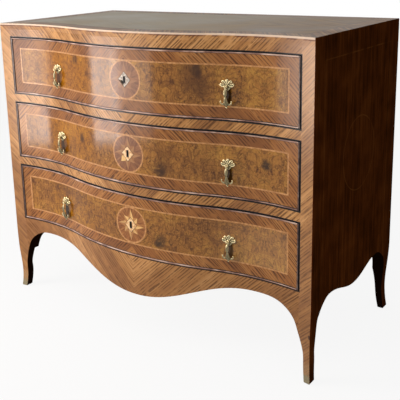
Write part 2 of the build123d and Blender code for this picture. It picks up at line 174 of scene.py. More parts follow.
# Veneer of walnut cut across and laid slanting, french polished.
# Golden and red-brown leaves, softly shiny, ruled with thin dark growth lines that meet in a chevron
# at the middle. The pores of walnut are 0.2 mm wide, too fine for the picture, so they aren't drawn.
slantGrain = {"slope": 43, "stileSlope": 44, "leafMm": 74, "patchMm": 260,
              "bandMm": 12, "lengthMm": 240, "deepMm": 400,
              "lineMm": 7.6, "lineWander": 2.6,       # spacing of the ruled lines, and how far they stray
              "lineEdge": (0.23, 0.09), "lineShare": 0.78, "stileLines": 0.85,
              "fadeMm": 22, "fadeEdge": (0.3, 0.56),  # the lines break off here and there
              "jointEdge": (0.02, 0.0),
              "shares": {"patch": 0.5, "band": 0.6, "leaf": 0.2},
              "tones": ((0.50, "#8f6137"), (0.66, "#ad7b46"), (0.82, "#c4925b")), "line": "#4c2b0d",
              # a painted sheen lightens the stiles a little, and the right one more towards its top, standing for
              # a reflection
              "sheenZone": (("Z", 0.5, 0.8), ("X", 0.42, 0.53)), "sheenShare": 0.36, "stileSheenShare": 0.05,
              "paintedSheen": "#d3ae94", "roughness": 0.24, "specular": 0.24, "reliefMm": 0.04}
borderGrain = dict(slantGrain, leafMm=58, line="#40220f", dulled="#5e3318", dulledShare=0.45,
                   tones=((0.50, "#7d4e28"), (0.66, "#935e2e"), (0.82, "#a8733e")),
                   roughness=0.15, dulledRoughness=0.34, reliefMm=0.03)
gapShadow = {"fullMm": 3.3, "goneMm": 4.7, "tone": "#0d0403"}     # painted shadow of the gaps round the drawer openings


def slantedVeneer(add, look, lean):
    # lean 1 rises towards the corners of the chest, lean -1 falls
    place = placeOn(add)
    aside = add("Math ABSOLUTE", [place["X"]])
    folded = add("CombineXYZ", [aside, place["Y"], place["Z"]])
    stile = add("Ease", [aside, stileEdge - 0.1 * mm, stileEdge + 0.1 * mm])
    slopes = [lean * math.radians(look[name]) for name in ("slope", "stileSlope")]
    slope = add("MapRange", [stile, 0.0, 1.0, *slopes])
    turned = add("VectorRotate Y_AXIS", {"Vector": folded, "Angle": slope})
    patch = add("TexNoise", {"Vector": place["whole"], "Scale": perMm(look["patchMm"]), "Detail": 2.0})
    across = add("SeparateXYZ", [turned], out="Z")
    leafPlace = add("Math MULTIPLY_ADD", [across, perMm(look["leafMm"]), patch])
    leaf = add("TexWhiteNoise 1D", [add("Math FLOOR", [leafPlace])])
    band = grainNoise(add, turned, perMm(look["lengthMm"], look["deepMm"], look["bandMm"]),
                      {"Detail": 3.0, "Roughness": 0.6})
    lines = mixture(add, (across, perMm(look["lineMm"])), (band, look["lineWander"]))
    lines = add("Math PINGPONG", [lines, 0.5])
    fade = add("TexNoise", {"Vector": place["whole"], "Scale": perMm(look["fadeMm"]), "Detail": 3.0})
    shares = look["shares"]
    tone = mixture(add, (patch, shares["patch"]), (band, shares["band"]), (leaf, shares["leaf"]))
    colour = add("ValToRGB", [tone], look["tones"])
    drawn = [add("Ease", [lines, *look["lineEdge"]]), add("Ease", [fade, *look["fadeEdge"]])]
    drawn = add("Math MULTIPLY", drawn)
    leafJoint = add("Ease", [add("Math FRACT", [leafPlace]), *look["jointEdge"]])
    share = add("MapRange", [stile, 0.0, 1.0, look["lineShare"], look["stileLines"] * look["lineShare"]])
    drawn = add("Math MULTIPLY", [add("Math MAXIMUM", [drawn, leafJoint]), share])
    colour = add("Blend", [drawn, colour, look["line"]])
    # painted sheen: a pale reflection laid into the colour of the stiles and the upper right
    paintedSheen = zone(add, *look["sheenZone"])
    paintedSheen = mixture(add, (stile, look["stileSheenShare"]), (paintedSheen, look["sheenShare"]))
    return add("Blend", [paintedSheen, colour, look["paintedSheen"]]), lines


def shadowRoundDrawers(add, colour, look):
    # darkens what lies within a few millimetres outside a drawer's outline, as a painted shadow of the gap
    place = placeOn(add)
    aside = add("Math ABSOLUTE", [place["X"]])
    nearest = None
    for level in levels:
        low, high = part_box(level + "_drawer_cockbead")
        outside = extreme(add, "MAXIMUM", (aside, high.x), (low.z, place["Z"]), (place["Z"], high.z))
        nearest = add("Math MINIMUM", [nearest, outside]) if nearest else outside
    shadowed = add("Ease", [nearest, look["goneMm"] * mm, look["fullMm"] * mm])
    return add("Blend", [shadowed, colour, look["tone"]])


# The polish has gone dull at the left end of the top drawer
dulledCorner = (("X", -0.27, -0.38), ("Z", 0.64, 0.68))


def makeBorderSurface():
    look = borderGrain
    made, add = newSurface("walnutCrossbandPolished")
    colour, lines = slantedVeneer(add, look, -1)
    corner = zone(add, *dulledCorner)
    colour = add("Blend", [add("Math MULTIPLY", [corner, look["dulledShare"]]), colour, look["dulled"]])
    rough = add("MapRange", [corner, 0.0, 1.0, look["roughness"], look["dulledRoughness"]])
    closeSurface(add, look, colour, lines, roughness=rough)
    return made


# Burr walnut, sliced, book-matched and french polished.
# Honey and brown clouds under a bright polish, crossed by fine curling lines, with clustered eyes and
# a few dark knots.
burrFigure = {"leafMm": 132, "cloudMm": 52, "warpMm": 16, "curlMm": 30, "curlLines": 5,
              "flameMm": 5.5, "flameTallMm": 24, "flameDeepMm": 60, "eyeMm": 10, "fleckMm": 4.0,
              "netMm": 19, "netDrift": 3.4, "knotDrift": 1.6, "patchDrift": 2.0,    # ragged by these shares
              "shares": {"swirl": 0.3, "cloud": 0.42, "flame": 0.22, "fleck": 0.22, "leaf": 0.08},
              "tones": ((0.46, "#6f441b"), (0.62, "#966429"), (0.80, "#b98839")),
              "curl": "#3d1d03", "curlShare": 0.5, "clusterShare": 0.3, "veinShare": 0.45, "netShare": 0.48,
              "eye": "#2a1402", "eyeShare": 0.45, "joint": "#4c2b10", "jointShare": 0.55,
              "knot": "#2e1d0e", "knotShare": 0.9, "patch": "#4a2808",
              # the varnish is amber at the left, more so higher up, and has faded at the lower right
              "amberZone": (("X", -0.40, -0.33), ("X", -0.08, -0.2)), "amberTint": "#fffaa0",
              "amberHigh": (0.40, 0.68), "amber": "#b36406", "amberShare": 0.12,
              "fadedZone": (("X", 0.2, 0.42), ("Z", 0.46, 0.36)), "faded": "#d2ae8c", "fadedShare": 0.14,
              "roughness": 0.12, "dulledRoughness": 0.3, "specular": 0.29, "reliefMm": 0.03}
# x and z in metres and the radius in millimetres; a dark patch has a share too
knots = ((0.104, 0.514, 20), (0.096, 0.308, 20), (0.214, 0.785, 18), (-0.204, 0.788, 14),
         (-0.191, 0.563, 13), (0.40, 0.56, 15))
darkPatches = ((0.215, 0.762, 62, 0.62), (0.11, 0.53, 48, 0.4))
# painted shadows of the drops on the polish behind them, standing also for the bruising their swing leaves
dropShadowAndBruise = {"wideMm": 10, "tallMm": 26, "belowMm": 25, "share": 0.92, "tone": "#160a03"}


def burrVeneer(add, look):
    place = placeOn(add)
    leafPlace = add("Math DIVIDE", [place["X"], look["leafMm"] * mm])
    leaf = add("TexWhiteNoise 1D", [add("Math FLOOR", [leafPlace])])
    folded = add("Math PINGPONG", [place["X"], look["leafMm"] * mm])
    matched = add("CombineXYZ", [folded, place["Y"], place["Z"]])
    drift = {"Vector": matched, "Scale": perMm(look["cloudMm"]), "Detail": 2.0}
    drift = add("TexNoise", drift, out="Color")
    drift = add("VectorMath SUBTRACT", [drift, (0.5, 0.5, 0.5)])
    warped = add("VectorMath MULTIPLY_ADD", [drift, [2 * look["warpMm"] * mm] * 3, matched])
    cloud = add("TexNoise", {"Vector": warped, "Scale": perMm(look["cloudMm"]), "Detail": 5.0,
                             "Roughness": 0.62})
    swirl = add("TexNoise", {"Vector": warped, "Scale": perMm(look["curlMm"]), "Detail": 3.0,
                             "Roughness": 0.55, "Distortion": 1.6})
    flame = grainNoise(add, warped, perMm(look["flameMm"], look["flameDeepMm"], look["flameTallMm"]),
                       {"Detail": 2.0, "Distortion": 1.4})
    eyes = add("TexVoronoi SMOOTH_F1", {"Vector": warped, "Scale": perMm(look["eyeMm"]),
                                        "Smoothness": 0.3})
    fleck = add("TexNoise", {"Vector": warped, "Scale": perMm(look["fleckMm"]), "Detail": 2.0})
    patterns = {"swirl": swirl, "cloud": cloud, "flame": flame, "fleck": fleck, "leaf": leaf}
    tone = mixture(add, *[(patterns[name], share) for name, share in look["shares"].items()])
    colour = add("ValToRGB", [tone], look["tones"])
    # curling lines, darker where the eyes cluster, then veins, a net of cracks, the eyes and the joints
    cluster = add("Ease", [cloud, 0.52, 0.40])
    curl = add("Math PINGPONG", [add("Math MULTIPLY", [swirl, look["curlLines"]]), 0.5])
    curlShare = add("Math MULTIPLY_ADD", [cluster, look["clusterShare"], look["curlShare"]])
    net = add("VectorMath MULTIPLY_ADD", [drift, [look["netDrift"] * look["netMm"] * mm] * 3, warped])
    net = add("TexVoronoi DISTANCE_TO_EDGE", {"Vector": net, "Scale": perMm(look["netMm"])})
    for share, pattern, edge, toneName in (
            (curlShare, curl, (0.10, 0.03), "curl"), (look["veinShare"], flame, (0.40, 0.33), "curl"),
            (add("Ease", [fleck, 0.32, 0.56, 0.0, look["netShare"]]), net, (0.11, 0.03), "curl"),
            (add("Math MULTIPLY", [cluster, look["eyeShare"]]), eyes, (0.30, 0.18), "eye"),
            (look["jointShare"], add("Math FRACT", [leafPlace]), (0.012, 0.0), "joint")):
        colour = add("Blend", [add("Ease", [pattern, *edge, 0.0, share]), colour, look[toneName]])
    for x, z, radius in knots:
        far = fromSpot(add, place["whole"], (x, 0, z), radius, radius, drift, look["knotDrift"])
        dense = add("Ease", [swirl, 0.74, 0.46, 0.0, look["knotShare"]])
        colour = add("Blend", [add("Ease", [far, 1.25, 0.45, 0.0, dense]), colour, look["knot"]])
    for x, z, radius, share in darkPatches:
        far = fromSpot(add, place["whole"], (x, 0, z), radius, radius, drift, look["patchDrift"])
        colour = add("Blend", [add("Ease", [far, 1.0, 0.2, 0.0, share]), colour, look["patch"]])
    aside = add("CombineXYZ", [add("Math ABSOLUTE", [place["X"]]), 0.0, place["Z"]])
    # painted shadow behind each drop, partly also bruising
    for level in levels:
        pin = cadJoints[level + "_right_drop_swing"]["pos_m"]
        behind = (pin[0], 0, pin[2] - dropShadowAndBruise["belowMm"] * mm)
        far = fromSpot(add, aside, behind, dropShadowAndBruise["wideMm"], dropShadowAndBruise["tallMm"])
        rubbed = add("Ease", [far, 1.25, 0.6, 0.0, dropShadowAndBruise["share"]])
        colour = add("Blend", [rubbed, colour, dropShadowAndBruise["tone"]])
    return colour, swirl


def makeBurrSurface():
    look = burrFigure
    made, add = newSurface("burrWalnutFrenchPolished")
    colour, swirl = burrVeneer(add, look)
    amber = zone(add, *look["amberZone"])
    colour = add("Blend", [amber, colour, look["amberTint"]], blend_type="MULTIPLY")
    lift = add("Ease", [placeOn(add)["Z"], *look["amberHigh"], 0.0, look["amberShare"]])
    lift = add("Math MULTIPLY", [lift, amber])
    colour = add("Blend", [lift, colour, look["amber"]], blend_type="ADD")
    faded = add("Math MULTIPLY", [zone(add, *look["fadedZone"]), look["fadedShare"]])
    colour = add("Blend", [faded, colour, look["faded"]])
    corner = zone(add, *dulledCorner)
    rough = add("MapRange", [corner, 0.0, 1.0, look["roughness"], look["dulledRoughness"]])
    closeSurface(add, look, colour, swirl, roughness=rough)
    return made


# Walnut veneer on the sides, plain sliced, in old wax.
# Nearly black-brown, partly dark walnut and partly painted shade of the side turned from the lamps, with upright
# figure, a stringing line near the edges and a faint inlaid ring.
sideGrain = {"streakMm": 9, "lengthMm": 150, "cloudMm": 90, "shares": {"cloud": 0.45, "streak": 0.6},
             # the tones are darkened with painted shade; inside is a near-black painted shade for faces turned
             # neither to the front nor outwards
             "tones": ((0.38, "#381b06"), (0.53, "#52280c"), (0.70, "#693815")), "inside": "#1c0e06",
             "line": "#7d4c24", "lineMm": 2.5, "lineInsetMm": 58, "lineShare": 0.6,
             "ringMm": 100, "ringMiddle": (0, 0.03, 0.55), "arris": "#6d2c14", "arrisMm": (7, 1),
             "roughness": 0.5, "specular": 0.0, "reliefMm": 0.15}


def sideVeneer(add, look):
    place = placeOn(add)
    streak = perMm(look["streakMm"], look["streakMm"], look["lengthMm"])
    streak = grainNoise(add, place["whole"], streak, {"Detail": 4.0, "Roughness": 0.6, "Distortion": 0.4})
    cloud = add("TexNoise", {"Vector": place["whole"], "Scale": perMm(look["cloudMm"]), "Detail": 3.0})
    tone = mixture(add, (cloud, look["shares"]["cloud"]), (streak, look["shares"]["streak"]))
    colour = add("ValToRGB", [tone], look["tones"])
    off = add("VectorMath SUBTRACT", [place["whole"], look["ringMiddle"]])
    far = add("VectorMath LENGTH", [add("VectorMath MULTIPLY", [off, (0, 1, 1)])])
    front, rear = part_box("front_right_leg_post")[0].y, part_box("rear_right_leg_post")[1].y
    inset, top = look["lineInsetMm"] * mm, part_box("top_board")[1].z
    within = extreme(add, "MINIMUM", (place["Y"], front + inset), (rear - inset, place["Y"]),
                     (top - inset, place["Z"]))
    wide = look["lineMm"] * mm
    inlaid = [add("Ease", [add("Math ABSOLUTE", [apart]), 0.8 * wide, 0.3 * wide])
              for apart in (add("Math SUBTRACT", [far, look["ringMm"] * mm]), within)]
    worn = add("Ease", [cloud, 0.35, 0.6, 0.0, look["lineShare"]])
    worn = add("Math MULTIPLY", [add("Math MAXIMUM", inlaid), worn])
    colour = add("Blend", [worn, colour, look["line"]])
    arris = add("Ease", [place["Y"], *[front + size * mm for size in look["arrisMm"]]])
    return add("Blend", [arris, colour, look["arris"]]), streak


# The legs are darker lower down and more so at the right, rubbed pale near the floor and bare and grey-green at
# the toe: heights in metres
footWear = {"lowerDarkening": "#6e4526", "lowerDarkeningHigh": (0.30, 0.16), "lowerDarkeningRight": (0.3, 0.5),
            "lowerDarkeningShare": (0.3, 0.46),                        # to the left and at the right foot
            "pale": "#a48a68", "paleHigh": (0.085, 0.055), "paleShare": 0.4,
            "bare": "#8a8064", "bareHigh": (0.045, 0.030), "raggedMm": 14, "raggedBy": 0.03,
            "nick": (0.531, 0, 0.134), "nickMm": (2, 4), "nickTone": "#4a2e1a"}


def makeCarcassSurfaces():
    # a look for each way a face turns: slanting veneer in front, side veneer outwards, else a near-black painted
    # shade
    made, add = newSurface("walnutSlantedVeneerPolished")
    wear = footWear
    front, outwards = facing(add)
    colour, lines = slantedVeneer(add, slantGrain, 1)
    # painted shadow in the gaps round the drawers
    colour = shadowRoundDrawers(add, colour, gapShadow)
    place = placeOn(add)
    lowerDarkening = add("Ease", [place["X"], *wear["lowerDarkeningRight"], *wear["lowerDarkeningShare"]])
    lowerDarkening = add("Ease", [place["Z"], *wear["lowerDarkeningHigh"], 0.0, lowerDarkening])
    colour = add("Blend", [lowerDarkening, colour, wear["lowerDarkening"]])
    # painted shade: faces turned away from the front are near-black
    colour = add("Blend", [front, sideGrain["inside"], colour])
    colour = add("Blend", [outwards, colour, sideVeneer(add, sideGrain)[0]])
    scuff = add("TexNoise", {"Vector": place["whole"], "Scale": perMm(wear["raggedMm"]), "Detail": 4.0})
    height = add("Math MULTIPLY_ADD", [scuff, wear["raggedBy"], place["Z"]])
    nick = fromSpot(add, place["whole"], wear["nick"], *wear["nickMm"])
    for share, tone in ((add("Ease", [height, *wear["paleHigh"], 0.0, wear["paleShare"]]), "pale"),
                        (add("Ease", [height, *wear["bareHigh"]]), "bare"),
                        (add("Ease", [nick, 2.0, 1.0]), "nickTone")):
        colour = add("Blend", [add("Math MULTIPLY", [share, front]), colour, wear[tone]])
    polish = add("MapRange", [front, 0.0, 1.0, 0.0, slantGrain["specular"]])
    closeSurface(add, slantGrain, colour, lines, specular=polish)

    side, add = newSurface("walnutSideVeneerWaxed")
    colour, streak = sideVeneer(add, sideGrain)
    # painted shade: faces not turned outwards are near-black
    colour = add("Blend", [facing(add)[1], sideGrain["inside"], colour])
    closeSurface(add, sideGrain, colour, streak)
    return made, side


# Walnut top, quartered veneer, old polish gone dull, with a painted grey sheen.
# Mottled grey-brown quarters that mirror each other in a striped border, half matt, with the painted pale sheen
# towards the left.
topGrain = {"stripeMm": 11, "lengthMm": 190, "deepMm": 50, "slope": 35, "cloudMm": 160, "jointMm": 1.6,
            "tones": ((0.36, "#46331b"), (0.52, "#664c2a"), (0.68, "#866a42")), "joint": "#2c1d0f",
            "paintedSheen": "#8f8a76", "sheenFrom": (0.42, -0.1), "sheenShare": 0.5,
            "borderMm": 52, "borderStripeMm": 4,
            "borderTones": ((0.36, "#432b15"), (0.5, "#644527"), (0.66, "#83633b")),
            # the front edge is worn pale and carries a painted highlight above, and is rubbed red below:
            # millimetres under the top, and shares
            "wornMm": 22, "arris": "#f2dac2", "arrisMm": (5.2, 4.2), "arrisWearAndHighlightShare": 0.75,
            "underArris": "#55251a", "underMm": (9, 7.5), "underShare": 0.7,
            "bowMm": 870, "hollowMm": 600, "turnMm": 240,       # radii of the front edge, and where they meet
            "roughness": (0.40, 0.56), "specular": 0.26, "reliefMm": 0.06}


def topBorder(add, look, place, aside):
    # how far a point of the top lies in from its nearest edge, the serpentine front one with its true curve
    low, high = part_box("top_board")
    bow, hollow, turn = [look[size] * mm for size in ("bowMm", "hollowMm", "turnMm")]
    angle = math.asin(turn / bow)

    def arc(radius, offset):
        # the height of a circle over its middle at this x
        off = add("Math SUBTRACT", [aside, offset])
        square = add("Math SUBTRACT", [radius * radius, add("Math MULTIPLY", [off, off])])
        return add("Math SQRT", [square])

    bowed = add("Math SUBTRACT", [low.y + bow, arc(bow, 0.0)])
    hollowed = arc(hollow, (bow + hollow) * math.sin(angle))
    hollowed = add("Math ADD", [hollowed, low.y + bow - (bow + hollow) * math.cos(angle)])
    outer = add("Math GREATER_THAN", [aside, turn])
    edge = add("MapRange", [outer, 0.0, 1.0, bowed, hollowed])
    return extreme(add, "MINIMUM", (place["Y"], edge), (high.y, place["Y"]), (high.x, aside))


def makeTopSurface():
    made, add = newSurface("walnutTopQuarteredDulled")
    look, place = topGrain, placeOn(add)
    low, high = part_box("top_board")
    aside = add("Math ABSOLUTE", [place["X"]])
    deep = add("Math ABSOLUTE", [add("Math SUBTRACT", [place["Y"], (low.y + high.y) / 2])])
    folded = add("CombineXYZ", [aside, deep, place["Z"]])
    turned = add("VectorRotate Z_AXIS", {"Vector": folded, "Angle": math.radians(look["slope"])})
    stripes = perMm(look["lengthMm"], look["stripeMm"], look["deepMm"])
    stripes = grainNoise(add, turned, stripes, {"Detail": 4.0, "Roughness": 0.6, "Distortion": 0.5})
    cloud = add("TexNoise", {"Vector": place["whole"], "Scale": perMm(look["cloudMm"]), "Detail": 3.0})
    veneer = add("ValToRGB", [mixture(add, (cloud, 0.5), (stripes, 0.5))], look["tones"])
    joints = add("Ease", [add("Math MINIMUM", [aside, deep]), look["jointMm"] * mm, 0.0])
    veneer = add("Blend", [joints, veneer, look["joint"]])
    # painted sheen: a pale grey reflection laid into the top's colour towards the left
    paintedSheen = add("Ease", [place["X"], *look["sheenFrom"], 0.0, look["sheenShare"]])
    veneer = add("Blend", [paintedSheen, veneer, look["paintedSheen"]])

    inwards = topBorder(add, look, place, aside)
    hatch = perMm(look["borderStripeMm"], look["lengthMm"], look["deepMm"])
    hatch = grainNoise(add, turned, hatch, {"Detail": 2.0, "Roughness": 0.6})
    border = add("ValToRGB", [hatch], look["borderTones"])
    wide = look["borderMm"] * mm
    veneer = add("Blend", [add("Ease", [inwards, wide + 0.3 * mm, wide - 0.3 * mm]), veneer, border])
    seam = add("Math ABSOLUTE", [add("Math SUBTRACT", [inwards, wide])])
    seam = add("Ease", [seam, look["jointMm"] * mm, 0.4 * look["jointMm"] * mm])
    veneer = add("Blend", [seam, veneer, look["joint"]])

    edge = slantedVeneer(add, slantGrain, 1)[0]
    worn = add("TexNoise", {"Vector": place["whole"], "Scale": perMm(look["wornMm"]), "Detail": 3.0})
    worn = add("Ease", [worn, 0.38, 0.56])
    under, arris = [add("Ease", [place["Z"], *[high.z - size * mm for size in look[name]]])
                    for name in ("underMm", "arrisMm")]
    under = add("Math MULTIPLY", [add("Math MULTIPLY", [under, worn]), look["underShare"]])
    edge = add("Blend", [under, edge, look["underArris"]])
    # the pale arris is partly wear and partly a painted highlight along the edge
    pale = add("Math MULTIPLY", [add("Math MAXIMUM", [arris, worn]), arris])
    edge = add("Blend", [add("Math MULTIPLY", [pale, look["arrisWearAndHighlightShare"]]), edge, look["arris"]])
    front, outwards = facing(add)
    colour = add("Blend", [front, veneer, edge])
    colour = add("Blend", [outwards, colour, sideVeneer(add, sideGrain)[0]])
    rough = add("MapRange", [cloud, 0.3, 0.7, *look["roughness"]])
    polish = add("MapRange", [outwards, 0.0, 1.0, look["specular"], 0.0])
    closeSurface(add, look, colour, stripes, roughness=rough, specular=polish)
    return made


# Boxwood stringing, ring and compass star, sawn and polished over, gone orange under old varnish.
# The star's points are half light and half scorched; on the upper two drawers it has almost worn away.
# The middle star keeps one light point, and the bottom one is bright on one side: bearings in degrees.
boxwoodTones = {"plain": "#c6915b", "dulled": "#ab7846", "light": "#e2b673", "scorched": "#b07c46",
                "groundTone": "#8a5a38", "starFade": {"top": 0.9, "middle": 0.8},
                "keptBearing": -135, "brightBearing": 40, "wornShare": 0.45,
                "grainMm": 6.4, "grainTone": "#6b4424", "grainShare": 0.15,   # four times as coarse, to show
                "roughness": 0.2, "specular": 0.3, "reliefMm": 0.05}
glueLine = {"reach": (1.14, 1.05), "share": 0.8, "tone": "#2e1809"}     # in half widths of the plate


def starPlace(add, level):
    # a point's place, its height over the middle of this drawer's medallion, and its distance from there
    place = placeOn(add)
    low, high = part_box(level + "_drawer_medallion_ground")
    up = add("Math SUBTRACT", [place["Z"], (low.z + high.z) / 2])
    away = add("VectorMath LENGTH", [add("CombineXYZ", [place["X"], 0.0, up])])
    return {**place, "up": up, "away": away, "radius": (high.z - low.z) / 2}


def byKeyholePlate(add, level, colour):
    # dark glue shows in the joint round the diamond plate
    low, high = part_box(level + "_drawer_escutcheon")
    middle, half = (low + high) / 2, (high - low) / 2
    off = add("VectorMath SUBTRACT", [placeOn(add)["whole"], middle])
    off = add("VectorMath MULTIPLY", [off, (1 / half.x, 0, 1 / half.z)])
    off = add("SeparateXYZ", [add("VectorMath ABSOLUTE", [off])]).node.outputs
    beyond = add("Math ADD", [off["X"], off["Z"]])
    glued = add("Ease", [beyond, *glueLine["reach"], 0.0, glueLine["share"]])
    return add("Blend", [glued, colour, glueLine["tone"]])


def makeBoxwoodSurface(level):
    look = boxwoodTones
    made, add = newSurface("boxwoodInlay" + level.capitalize())
    place = starPlace(add, level)
    bearing = add("Math ARCTAN2", [place["X"], place["up"]])
    grain = add("TexNoise", {"Vector": place["whole"], "Scale": perMm(look["grainMm"]), "Detail": 4.0})
    facet = add("Math FRACT", [add("Math MULTIPLY", [bearing, 4 / math.pi])])   # eight points of two halves
    star = add("Blend", [add("Math GREATER_THAN", [facet, 0.5]), look["light"], look["scorched"]])
    if level in look["starFade"]:
        star = add("Blend", [look["starFade"][level], star, look["groundTone"]])
    if level == "middle":
        apart = add("Math SUBTRACT", [bearing, math.radians(look["keptBearing"])])
        kept = add("Ease", [add("Math ABSOLUTE", [apart]), 0.42, 0.36])
        star = add("Blend", [kept, star, look["light"]])
    elif level == "bottom":
        apart = add("Math SUBTRACT", [bearing, math.radians(look["brightBearing"])])
        worn = add("Ease", [add("Math ABSOLUTE", [apart]), 1.3, 2.2, 0.0, look["wornShare"]])
        star = add("Blend", [worn, star, look["groundTone"]])
    plain = add("Blend", [add("Ease", [grain, 0.3, 0.7]), look["dulled"], look["plain"]])
    colour = add("Blend", [add("Math LESS_THAN", [place["away"], place["radius"]]), plain, star])
    streaked = add("Ease", [grain, 0.6, 0.35, 0.0, look["grainShare"]])
    colour = add("Blend", [streaked, colour, look["grainTone"]])
    closeSurface(add, look, byKeyholePlate(add, level, colour), grain)
    return made


# Plum wood ground of the medallions, polished.
# Red-brown with fine radiating grain, the bottom one more golden.
plumwood = {"others": ("#5f3822", "#7c4f30", "#98663f"), "bottom": ("#63391a", "#895428", "#aa743f"),
            "rays": 9.0, "grainMm": 30, "roughness": 0.2, "specular": 0.3, "reliefMm": 0.05}


def makeGroundSurface(level):
    made, add = newSurface("plumwoodGround" + level.capitalize())
    look, place = plumwood, starPlace(add, level)
    bearing = add("Math ARCTAN2", [place["X"], place["up"]])
    fan = add("CombineXYZ", [add("Math MULTIPLY", [bearing, look["rays"]]),
                             add("Math MULTIPLY", [place["away"], perMm(look["grainMm"])]), 0.0])
    grain = add("TexNoise", {"Vector": fan, "Scale": 1.0, "Detail": 4.0, "Roughness": 0.65})
    colour = add("ValToRGB", [grain], list(zip((0.3, 0.5, 0.7), look.get(level, look["others"]))))
    closeSurface(add, look, byKeyholePlate(add, level, colour), grain)
    return made


# Bone keyhole plates, sawn and rubbed smooth: cream, with brown dirt round the keyhole, the top one grey, and
# near-black painted shade in the keyhole and on the cut faces.
# The top one is cracked from the foot of its keyhole to its left point: rows of slope, rise, from x, to x.
bone = {"others": ("#e9c896", "#c48c50"), "top": ("#c4b6a4", "#75685a"), "cut": "#070404", "stainMm": 5,
        "dirtMm": (11, 4), "dirtShare": 0.6, "roughness": 0.3, "specular": 0.45, "reliefMm": 0.1}
boneCrack = {"rows": ((0.18, -6.0, -11, -1), (-1.0, -19.0, -19, -11)), "wideMm": 1.5, "tone": "#150c06"}
keyholeShadeMargin = {"halfWide": 3.6, "halfTall": 9.6, "tone": "#100803"}     # painted shade that widens the keyhole's black, in mm


def makeBoneSurface(level):
    made, add = newSurface("boneKeyholePlate" + level.capitalize())
    look, place = bone, starPlace(add, level)
    stain = add("TexNoise", {"Vector": place["whole"], "Scale": perMm(look["stainMm"]), "Detail": 4.0})
    fresh, soiled = look.get(level, look["others"])
    colour = add("Blend", [add("Ease", [stain, 0.60, 0.36]), fresh, soiled])
    dirt = [size * mm for size in look["dirtMm"]]
    colour = add("Blend", [add("Ease", [place["away"], *dirt, 0.0, look["dirtShare"]]), colour, soiled])
    # painted shade round the keyhole
    worn = [add("Ease", [add("Math ABSOLUTE", [place[axis]]), (keyholeShadeMargin[half] + 1) * mm, keyholeShadeMargin[half] * mm])
            for axis, half in (("X", "halfWide"), ("up", "halfTall"))]
    colour = add("Blend", [add("Math MULTIPLY", worn), colour, keyholeShadeMargin["tone"]])
    for slope, rise, start, end in (boneCrack["rows"] if level == "top" else ()):
        line = add("Math MULTIPLY_ADD", [place["X"], slope, rise * mm])
        off = add("Math ABSOLUTE", [add("Math SUBTRACT", [place["up"], line])])
        along = add("Math COMPARE", [place["X"], (start + end) / 2 * mm, (end - start) / 2 * mm])
        crack = add("Ease", [off, boneCrack["wideMm"] * mm, 0.6 * boneCrack["wideMm"] * mm])
        colour = add("Blend", [add("Math MULTIPLY", [crack, along]), colour, boneCrack["tone"]])
    # painted shade: the cut faces of the plate and keyhole are near-black
    closeSurface(add, look, add("Blend", [facing(add)[0], look["cut"], colour]), stain)
    return made


# Cockbead, planed walnut stained dark and polished.
# Pale plum on its crown, lightened as a painted highlight, painted black shade in the quirks, and painted shade
# along the upright lengths.
# the pale tones stand partly for a painted highlight on the crown
cockbead = {"grainMm": (70, 8, 12), "tones": ((0.3, "#5f3d33"), (0.5, "#a17c6b"), (0.7, "#dcc0ae")),
            "upright": "#2a1714", "uprightMm": (6, 5), "uprightShadeShare": 0.8, "quirkShade": "#0a0404",
            "crown": (-0.72, -0.95), "roughness": 0.22, "specular": 0.3, "reliefMm": 0.1}


def makeBeadSurface():
    made, add = newSurface("cockbeadStainedPolished")
    look, place = cockbead, placeOn(add)
    grain = grainNoise(add, place["whole"], perMm(*look["grainMm"]), {"Detail": 3.0})
    colour = add("ValToRGB", [grain], look["tones"])
    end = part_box("top_drawer_cockbead")[1].x
    upright = [end - size * mm for size in look["uprightMm"]]
    upright = add("Ease", [add("Math ABSOLUTE", [place["X"]]), *upright, 0.0, look["uprightShadeShare"]])
    # painted shade on the upright lengths
    colour = add("Blend", [upright, colour, look["upright"]])
    forwards = add("SeparateXYZ", [add("TexCoord", out="Normal")], out="Y")
    # painted black shade on the faces turned away from the front
    colour = add("Blend", [add("Ease", [forwards, *look["crown"]]), look["quirkShade"], colour])
    closeSurface(add, look, colour, grain)
    return made


# Poplar, planed and left bare: pale grey-brown, with soft growth lines along each board.
poplar = {"lengthMm": 160, "lineMm": 9, "deepMm": 7, "dustMm": 120, "dust": "#6d5a45", "dustShare": 0.4,
          "tones": ((0.3, "#7d6244"), (0.5, "#9b7e59"), (0.7, "#b29670")),
          "keyhole": "#0a0604", "keyholeMm": (16, 12),          # painted shade seen down the keyhole
          "roughness": 0.75, "specular": 0.2, "reliefMm": 0.3}


def makePoplarSurface(name, lengthways, keyholeOf=None):
    look = poplar
    made, add = newSurface(name)
    whole = add("TexCoord", out="Object")
    along = perMm(look["lengthMm"], look["lineMm"], look["deepMm"])
    deep = perMm(look["lineMm"], look["lengthMm"], look["deepMm"])
    stretch = along if lengthways else deep
    if not lengthways:                # a board that faces to the back or front has its grain across
        turned = add("SeparateXYZ", [add("TexCoord", out="Normal")], out="Y")
        turned = add("Ease", [add("Math ABSOLUTE", [turned]), 0.6, 0.8])
        stretch = add("Mix VECTOR", [turned, deep, along])
    grain = grainNoise(add, whole, stretch, {"Detail": 4.0, "Roughness": 0.6, "Distortion": 0.6})
    dust = add("TexNoise", {"Vector": whole, "Scale": perMm(look["dustMm"]), "Detail": 3.0})
    colour = add("ValToRGB", [grain], look["tones"])
    colour = add("Blend", [add("Ease", [dust, 0.4, 0.7, 0.0, look["dustShare"]]), colour, look["dust"]])
    if keyholeOf:
        # painted shade: the core behind the keyhole is made black
        black = add("Ease", [starPlace(add, keyholeOf)["away"], *[size * mm for size in look["keyholeMm"]]])
        colour = add("Blend", [black, colour, look["keyhole"]])
    closeSurface(add, look, colour, grain)
    return made


